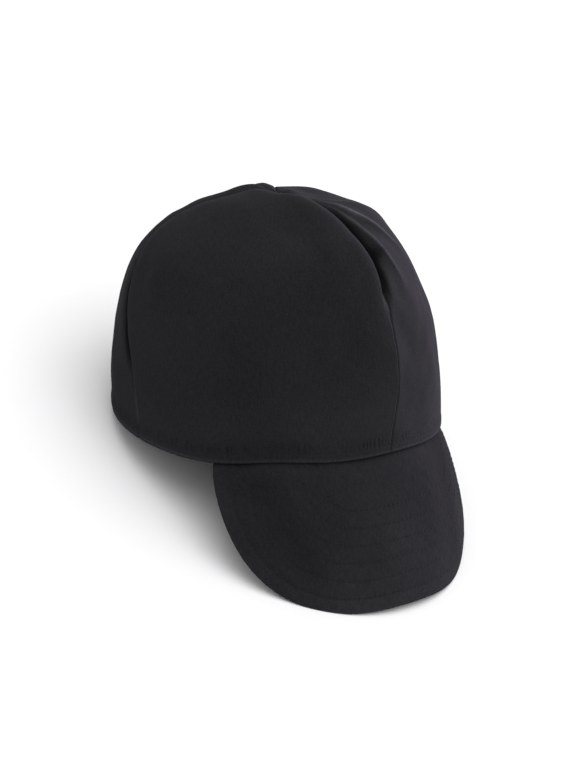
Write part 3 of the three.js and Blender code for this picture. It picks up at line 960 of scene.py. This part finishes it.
def stitch_row(line, out, looks, sides=6):
    """Vertices and faces of short threads laid end to end along a line, with small gaps."""
    line = line + out * STITCH_PROUD
    sums = running_lengths(line)
    count = max(1, int(sums[-1] / looks.stitch))
    starts = np.arange(count) * sums[-1] / count
    span = looks.stitch * STITCH_SHOWN
    turns = np.arange(sides) / sides * math.tau
    points = []
    for share, size, lift in STITCH_PROFILE:
        where = starts + share * span
        outward = sampled(out, sums, where)
        ahead = unit(sampled(line, sums, where + AHEAD_STEP)
                     - sampled(line, sums, where - AHEAD_STEP), TINY)
        aside = unit(np.cross(outward, ahead), TINY)
        centre = sampled(line, sums, where) + outward * lift * looks.thread_width
        ring = (centre[:, None]
                + aside[:, None] * (np.cos(turns) * size * looks.thread_width / 2)[:, None]
                + outward[:, None] * (np.sin(turns) * size * looks.thread_width / 2)[:, None])
        points.append(ring)
    rings = len(STITCH_PROFILE)
    index = np.arange(count * rings * sides).reshape(count, rings, sides)
    around = np.roll(index, -1, 2)
    sheets = np.stack([index[:, :-1], around[:, :-1], around[:, 1:], index[:, 1:]], -1)
    faces = sheets.reshape(-1, 4).tolist()
    faces += index[:, 0, ::-1].tolist() + index[:, -1].tolist()
    return np.stack(points, 1).reshape(-1, 3), faces


def stitching(name, rows, material):
    """One object of many stitches, from rows of points and faces."""
    points, faces, count = [], [], 0
    for row_points, row_faces in rows:
        points.append(row_points)
        faces += [[corner + count for corner in face] for face in row_faces]
        count += len(row_points)
    mesh = bpy.data.meshes.new(name)
    mesh.from_pydata(np.concatenate(points).tolist(), [], faces)
    mesh.shade_smooth()
    mesh.materials.append(material)
    return add_object(name, mesh)


def contour(grid, values, normals, level):
    """The line on a grid where its values cross a level, column by column along the root."""
    line, out = [], []
    for column in range(grid.shape[1]):
        strip = values[:, column]
        inside = np.nonzero((strip[:-1] >= level) & (strip[1:] < level))[0]
        if len(inside):
            row = inside[-1]
            share = (strip[row] - level) / (strip[row] - strip[row + 1])
            line.append(mix(grid[row, column], grid[row + 1, column], share))
            out.append(normals[row, column])
    return np.array(line), np.array(out)


SHAPES = {}


def shape_cap():
    """Works out every cloth grid once, and the matrix that stands the cap on the floor."""
    if SHAPES:
        return SHAPES
    lines = Meridians(bpy.context.scene.cap_crown)
    bill = bpy.context.scene.cap_bill
    grids = {}
    for order, (name, (first, last)) in enumerate(PANELS.items()):
        columns = FRONT_COLUMNS if "front" in name else BACK_COLUMNS
        seed = PANEL_SEED + PANEL_SEED_STEP * order
        grids[name] = crown_panel(lines, bill, first, last, columns, seed)
    grids["bill"] = bill_cloth(lines, bill)
    matrix = stand_matrix(grids["bill"][0], grids["panel_back_right"][0])
    turned = {}
    for name, (outer, inner, *rest) in grids.items():
        lifts = (FLAT_WALL, 0.0) if name == "bill" else (0.0, FLAT_WALL)
        turned[name] = (stand(outer, matrix, lifts[0]), stand(inner, matrix, lifts[1]), *rest)
    every = np.concatenate([outer.reshape(-1, 3) for outer, *_ in turned.values()])
    middle = (every[:, 1].min() + every[:, 1].max()) / 2 - (cad_low.y + cad_high.y) / 2
    for outer, inner, *_ in turned.values():
        outer[..., 1] -= middle
        inner[..., 1] -= middle
    SHAPES.update(turned)
    SHAPES["matrix"] = Matrix.Translation((0, -middle, 0)) @ matrix
    return SHAPES


class CAP_OT_crown(bpy.types.Operator):
    """Builds the four crown panels and the stitching of their hem"""

    bl_idname = "cap.crown"
    bl_label = "Crown"

    def execute(self, context):
        looks = context.scene.cap_cloth
        crown = context.scene.cap_crown
        shapes = shape_cap()
        cloth = woven_cotton("woven_cotton_drill", looks)
        thread = sewing_thread(looks)
        rows = []
        for name in PANELS:
            outer, inner, places = shapes[name]
            piece = closed_cloth(f"{name}_cloth", outer, inner, places)
            piece.data.materials.append(cloth)
            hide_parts(name)
            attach(piece, "root")
            row = int(np.argmin(np.abs(places[:, 0, 1] - crown.hem_width + HEM_ROW_INSET)))
            rows.append(stitch_row(outer[row], grid_normals(outer)[row], looks))
        hem = stitching("hem_stitching", rows, thread)
        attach(hem, "root")
        return {"FINISHED"}


class CAP_OT_bill(bpy.types.Operator):
    """Builds the quilted bill and its stitch rows"""

    bl_idname = "cap.bill"
    bl_label = "Bill"

    def execute(self, context):
        looks = context.scene.cap_cloth
        bill = context.scene.cap_bill
        outer, inner, places, away = shape_cap()["bill"]
        # Its rows run down and a panel's run up, so its columns are turned to face outwards too
        piece = closed_cloth("bill_cloth", outer[:, ::-1], inner[:, ::-1], places[:, ::-1])
        piece.data.materials.append(woven_cotton("quilted_cotton_drill", looks,
                                                 looks.bill_share))
        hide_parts("bill")
        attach(piece, "root")
        thread = bpy.data.materials.get(THREAD_MATERIAL) or sewing_thread(looks)
        rows = []
        normals = grid_normals(outer)
        for row in range(bill.row_count):
            level = bill.edge_band + row * bill.row_spacing
            line, out = contour(outer, away, normals, level)
            if len(line) > SHORTEST_ROW:
                rows.append(stitch_row(line, out, looks))
        stitches = stitching("bill_stitching", rows, thread)
        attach(stitches, "root")
        return {"FINISHED"}


class CAP_OT_stage(bpy.types.Operator):
    """Lays the floor, hangs the lights and sets the camera"""

    bl_idname = "cap.stage"
    bl_label = "Stage"

    def execute(self, context):
        scene = context.scene
        looks = scene.cap_stage
        self.lay_floor(looks)
        self.hang_lights(scene, looks)
        self.set_camera(scene)
        scene.view_settings.view_transform = "Standard"
        return {"FINISHED"}

    def lay_floor(self, looks, half=3.0):
        mesh = bpy.data.meshes.new("floor")
        corners = [(-half, -half, 0), (half, -half, 0), (half, half, 0), (-half, half, 0)]
        mesh.from_pydata(corners, [], [(0, 1, 2, 3)])
        material, tree = new_material("matt_paper")
        finish_material(tree, {"Base Color": (*looks.floor, 1), "Roughness": 0.9})
        mesh.materials.append(material)
        add_object("floor", mesh)

    def hang_lights(self, scene, looks):
        world = bpy.data.worlds.new("even room")
        world.use_nodes = True
        sky = world.node_tree.nodes["Background"].inputs
        sky["Strength"].default_value = looks.room
        sky["Color"].default_value = (1, 1, 1, 1)
        scene.world = world
        side = self.soft_box("side lamp", looks.key, size=1.0, place=(1.45, -0.02, 0.58))
        side.data.color = looks.key_colour
        self.soft_box("top lamp", looks.top, size=2.4, place=(-0.2, -0.3, 2.2))
        lit = bpy.data.collections.new("lit from the side")
        for piece in scene.objects:
            if piece.type == "MESH" and piece.name != "floor":
                lit.objects.link(piece)
        side.light_linking.receiver_collection = lit

    def soft_box(self, name, power, size, place):
        lamp = bpy.data.lights.new(name, "AREA")
        lamp.energy = power
        lamp.size = size
        box = add_object(name, lamp)
        box.location = place
        box.rotation_mode = "QUATERNION"
        box.rotation_quaternion = (LAMP_TARGET - box.location).to_track_quat("-Z", "Y")
        return box

    def set_camera(self, scene):
        turn, rise = math.radians(-VIEW_AZIMUTH), math.radians(VIEW_ELEVATION)
        back = Vector((math.sin(turn) * math.cos(rise), -math.cos(turn) * math.cos(rise),
                       math.sin(rise)))
        right = Vector((math.cos(turn), math.sin(turn), 0))
        up = back.cross(right)
        roll = math.radians(VIEW_ROLL)
        level = right * math.cos(roll) - up * math.sin(roll)
        upright = right * math.sin(roll) + up * math.cos(roll)
        axes = Matrix((level, upright, back)).transposed().to_4x4()
        camera = bpy.data.cameras.new("photo view")
        camera.lens = PIXELS_PER_METRE * VIEW_DISTANCE * SENSOR / IMAGE_SIZE[1]
        camera.sensor_width = SENSOR
        camera.shift_x = (IMAGE_SIZE[0] / 2 - RIM_MIDDLE_PIXEL[0]) / IMAGE_SIZE[1]
        camera.shift_y = (RIM_MIDDLE_PIXEL[1] - IMAGE_SIZE[1] / 2) / IMAGE_SIZE[1]
        view = add_object("photo view", camera)
        worn = Matrix.Translation(back * VIEW_DISTANCE) @ axes
        view.matrix_world = shape_cap()["matrix"] @ worn
        scene.camera = view


class CAP_PT_build(bpy.types.Panel):
    """Lists the steps and the sizes"""

    bl_label = "Welding cap"
    bl_idname = "CAP_PT_build"
    bl_space_type = "VIEW_3D"
    bl_region_type = "UI"
    bl_category = "Cap"

    def draw(self, context):
        for operator in (CAP_OT_crown, CAP_OT_bill, CAP_OT_stage):
            self.layout.operator(operator.bl_idname)
        for group in (context.scene.cap_crown, context.scene.cap_bill, context.scene.cap_cloth,
                      context.scene.cap_stage):
            for name in group.__annotations__:
                self.layout.prop(group, name)


CLASSES = (CrownSizes, BillSizes, ClothLooks, StageLooks, CAP_OT_crown, CAP_OT_bill,
           CAP_OT_stage, CAP_PT_build)
GROUPS = {"cap_crown": CrownSizes, "cap_bill": BillSizes, "cap_cloth": ClothLooks,
          "cap_stage": StageLooks}


def register():
    for kind in CLASSES:
        bpy.utils.register_class(kind)
    for name, group in GROUPS.items():
        setattr(bpy.types.Scene, name, PointerProperty(type=group))


def unregister():
    for name in GROUPS:
        delattr(bpy.types.Scene, name)
    for kind in reversed(CLASSES):
        bpy.utils.unregister_class(kind)


def main():
    register()
    bpy.ops.cap.crown()
    bpy.ops.cap.bill()
    bpy.ops.cap.stage()


if __name__ == "__main__":
    main()
